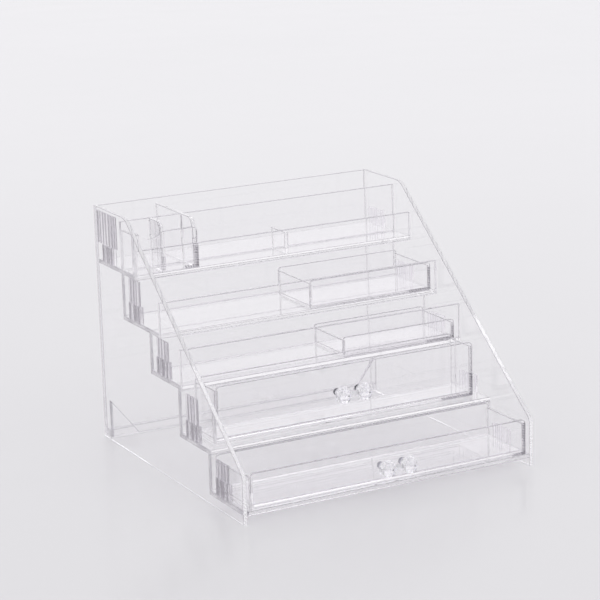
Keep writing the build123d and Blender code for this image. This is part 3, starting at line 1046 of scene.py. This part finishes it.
class OBJECT_OT_organizer_screws(bpy.types.Operator):
    """Makes the threaded screws that hold each drawer's pull"""

    bl_idname = "object.organizer_screws"
    bl_label = "Make screws"

    def execute(self, context):
        pulls = context.scene.organizer_pulls
        metal = metal_material("screw_metal", pulls)
        tree = screw_tree()
        for body in SCREWED_DRAWERS:
            stood_for = body + "_pull_screws"
            low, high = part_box(stood_for)
            mesh = run_tree(body + "_threaded_screws", tree, screw_values(stood_for, pulls, metal))
            middle = (low + high) / 2
            mesh.transform(Matrix.Translation((middle.x, low.y, middle.z)))
            screws = bpy.data.objects.new(mesh.name, mesh)
            context.scene.collection.objects.link(screws)
            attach(screws, body)
            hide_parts(stood_for)
        return {"FINISHED"}


def floor_material(stage):
    """Pale polished table top with painted light: darker towards the camera, growing lighter
    towards the back.
    """
    material, tree, shader = new_material("pale_floor")
    place = node(tree, "ShaderNodeTexCoord")
    turned = node(tree, "ShaderNodeMapping")
    turned.inputs["Rotation"].default_value = (0, 0, FLOOR_TURN)
    link(tree, place.outputs["Object"], turned.inputs["Vector"])
    split = node(tree, "ShaderNodeSeparateXYZ")
    link(tree, turned.outputs["Vector"], split.inputs["Vector"])
    # Painted light: the colour ramps from near to far along the camera's direction, with faint
    # random specks
    depth = ranged(tree, split.outputs["Y"], *FLOOR_FADE)
    speck = fill(node(tree, "ShaderNodeTexNoise"), Scale=3.0, Detail=2.0)
    link(tree, place.outputs["Object"], speck.inputs["Vector"])
    specks_and_painted_light = maths(tree, "MULTIPLY_ADD", speck.outputs["Fac"], 0.1)
    link(tree, depth, specks_and_painted_light.node.inputs[2])
    colour = node(tree, "ShaderNodeMix", data_type="RGBA")
    colour.inputs[6].default_value = (*stage.shaded_near_floor, 1)
    colour.inputs[7].default_value = (*stage.lit_far_floor, 1)
    link(tree, specks_and_painted_light, colour.inputs[0])
    link(tree, colour.outputs[2], shader.inputs["Base Color"])
    rough = ranged(tree, speck.outputs["Fac"], 0.2, 0.8, 0.14, 0.2)
    link(tree, rough, shader.inputs["Roughness"])
    shader.inputs["Specular IOR Level"].default_value = 0.35
    return material


def studio_world():
    """Pale room whose side towards the camera and right side are darker."""
    world = bpy.data.worlds.new("studio")
    world.use_nodes = True
    tree = world.node_tree
    place = node(tree, "ShaderNodeTexCoord")
    split = node(tree, "ShaderNodeSeparateXYZ")
    link(tree, place.outputs["Generated"], split.inputs["Vector"])
    front, right, high = (
        ranged(tree, split.outputs[axis], *levels) for axis, *levels in ROOM_LEVELS
    )
    level = maths(tree, "MULTIPLY", maths(tree, "MULTIPLY", front, right), high)
    tint = node(tree, "ShaderNodeMix", data_type="RGBA")
    tint.inputs[6].default_value = (0.0, 0.0, 0.0, 1)
    tint.inputs[7].default_value = (0.985, 0.975, 1.0, 1)
    link(tree, level, tint.inputs[0])
    tint.clamp_factor = False
    link(tree, tint.outputs[2], tree.nodes["Background"].inputs["Color"])
    return world


class OBJECT_OT_organizer_stage(bpy.types.Operator):
    """Builds the floor, the lights and the camera"""

    bl_idname = "object.organizer_stage"
    bl_label = "Build stage"

    def execute(self, context):
        scene = context.scene
        stage = scene.organizer_stage
        signs = ((-1, -1), (1, -1), (1, 1), (-1, 1))
        corners = [(x * FLOOR_REACH, y * FLOOR_REACH, 0) for x, y in signs]
        mesh = bpy.data.meshes.new("floor")
        mesh.from_pydata(corners, [], [(0, 1, 2, 3)])
        mesh.materials.append(floor_material(stage))
        floor = bpy.data.objects.new("floor", mesh)
        scene.collection.objects.link(floor)

        scene.world = studio_world()
        lamp_data = bpy.data.lights.new("wide_lamp", "AREA")
        lamp_data.shape = "RECTANGLE"
        lamp_data.size, lamp_data.size_y = LAMP_SIZE
        lamp_data.energy = stage.lamp_power
        lamp = bpy.data.objects.new("wide_lamp", lamp_data)
        lamp.location = LAMP_PLACE
        lamp.rotation_euler = (LAMP_AIM - LAMP_PLACE).to_track_quat("-Z", "Y").to_euler()
        scene.collection.objects.link(lamp)

        camera_data = bpy.data.cameras.new("camera")
        camera_data.lens = stage.lens
        camera_data.sensor_width = 36
        camera_data.clip_start = 0.05
        camera_data.clip_end = 100
        camera = bpy.data.objects.new("camera", camera_data)
        scene.collection.objects.link(camera)
        turn = Matrix((CAMERA_RIGHT, -CAMERA_DOWN, -CAMERA_FORWARD)).transposed()
        camera.matrix_world = Matrix.Translation(CAMERA_PLACE) @ turn.to_4x4()
        scene.camera = camera
        scene.view_settings.view_transform = "Standard"
        for limit in ("max", "transmission", "transparent_max", "glossy"):
            setattr(scene.cycles, limit + "_bounces", LIGHT_BOUNCES)
        return {"FINISHED"}


PANEL = (
    ("organizer_sheet", OrganizerSheet, ("case", "clips", "flutes", "drawers", "trays")),
    ("organizer_pulls", OrganizerPulls, ("pulls", "screws")),
    ("organizer_stage", OrganizerStage, ("stage",)),
)


class VIEW3D_PT_organizer(bpy.types.Panel):
    """Lists the organizer's sizes, colours and steps."""

    bl_label = "Organizer"
    bl_idname = "VIEW3D_PT_organizer"
    bl_space_type = "VIEW_3D"
    bl_region_type = "UI"
    bl_category = "Organizer"

    def draw(self, context):
        for setting, kind, steps in PANEL:
            column = self.layout.column(align=True)
            for field in kind.__annotations__:
                column.prop(getattr(context.scene, setting), field)
            for step in steps:
                column.operator("object.organizer_" + step)


CLASSES = (
    OrganizerSheet,
    OrganizerPulls,
    OrganizerStage,
    OBJECT_OT_organizer_case,
    OBJECT_OT_organizer_clips,
    OBJECT_OT_organizer_flutes,
    OBJECT_OT_organizer_drawers,
    OBJECT_OT_organizer_trays,
    OBJECT_OT_organizer_pulls,
    OBJECT_OT_organizer_screws,
    OBJECT_OT_organizer_stage,
    VIEW3D_PT_organizer,
)


def register():
    for kind in CLASSES:
        bpy.utils.register_class(kind)
    for setting, kind, _ in PANEL:
        setattr(bpy.types.Scene, setting, PointerProperty(type=kind))


def unregister():
    for setting, *_ in PANEL:
        delattr(bpy.types.Scene, setting)
    for kind in reversed(CLASSES):
        bpy.utils.unregister_class(kind)


def main():
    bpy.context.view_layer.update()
    register()
    bpy.ops.object.organizer_case()
    bpy.ops.object.organizer_clips()
    bpy.ops.object.organizer_flutes()
    bpy.ops.object.organizer_drawers()
    bpy.ops.object.organizer_trays()
    bpy.ops.object.organizer_pulls()
    bpy.ops.object.organizer_screws()
    bpy.ops.object.organizer_stage()


if __name__ == "__main__":
    main()
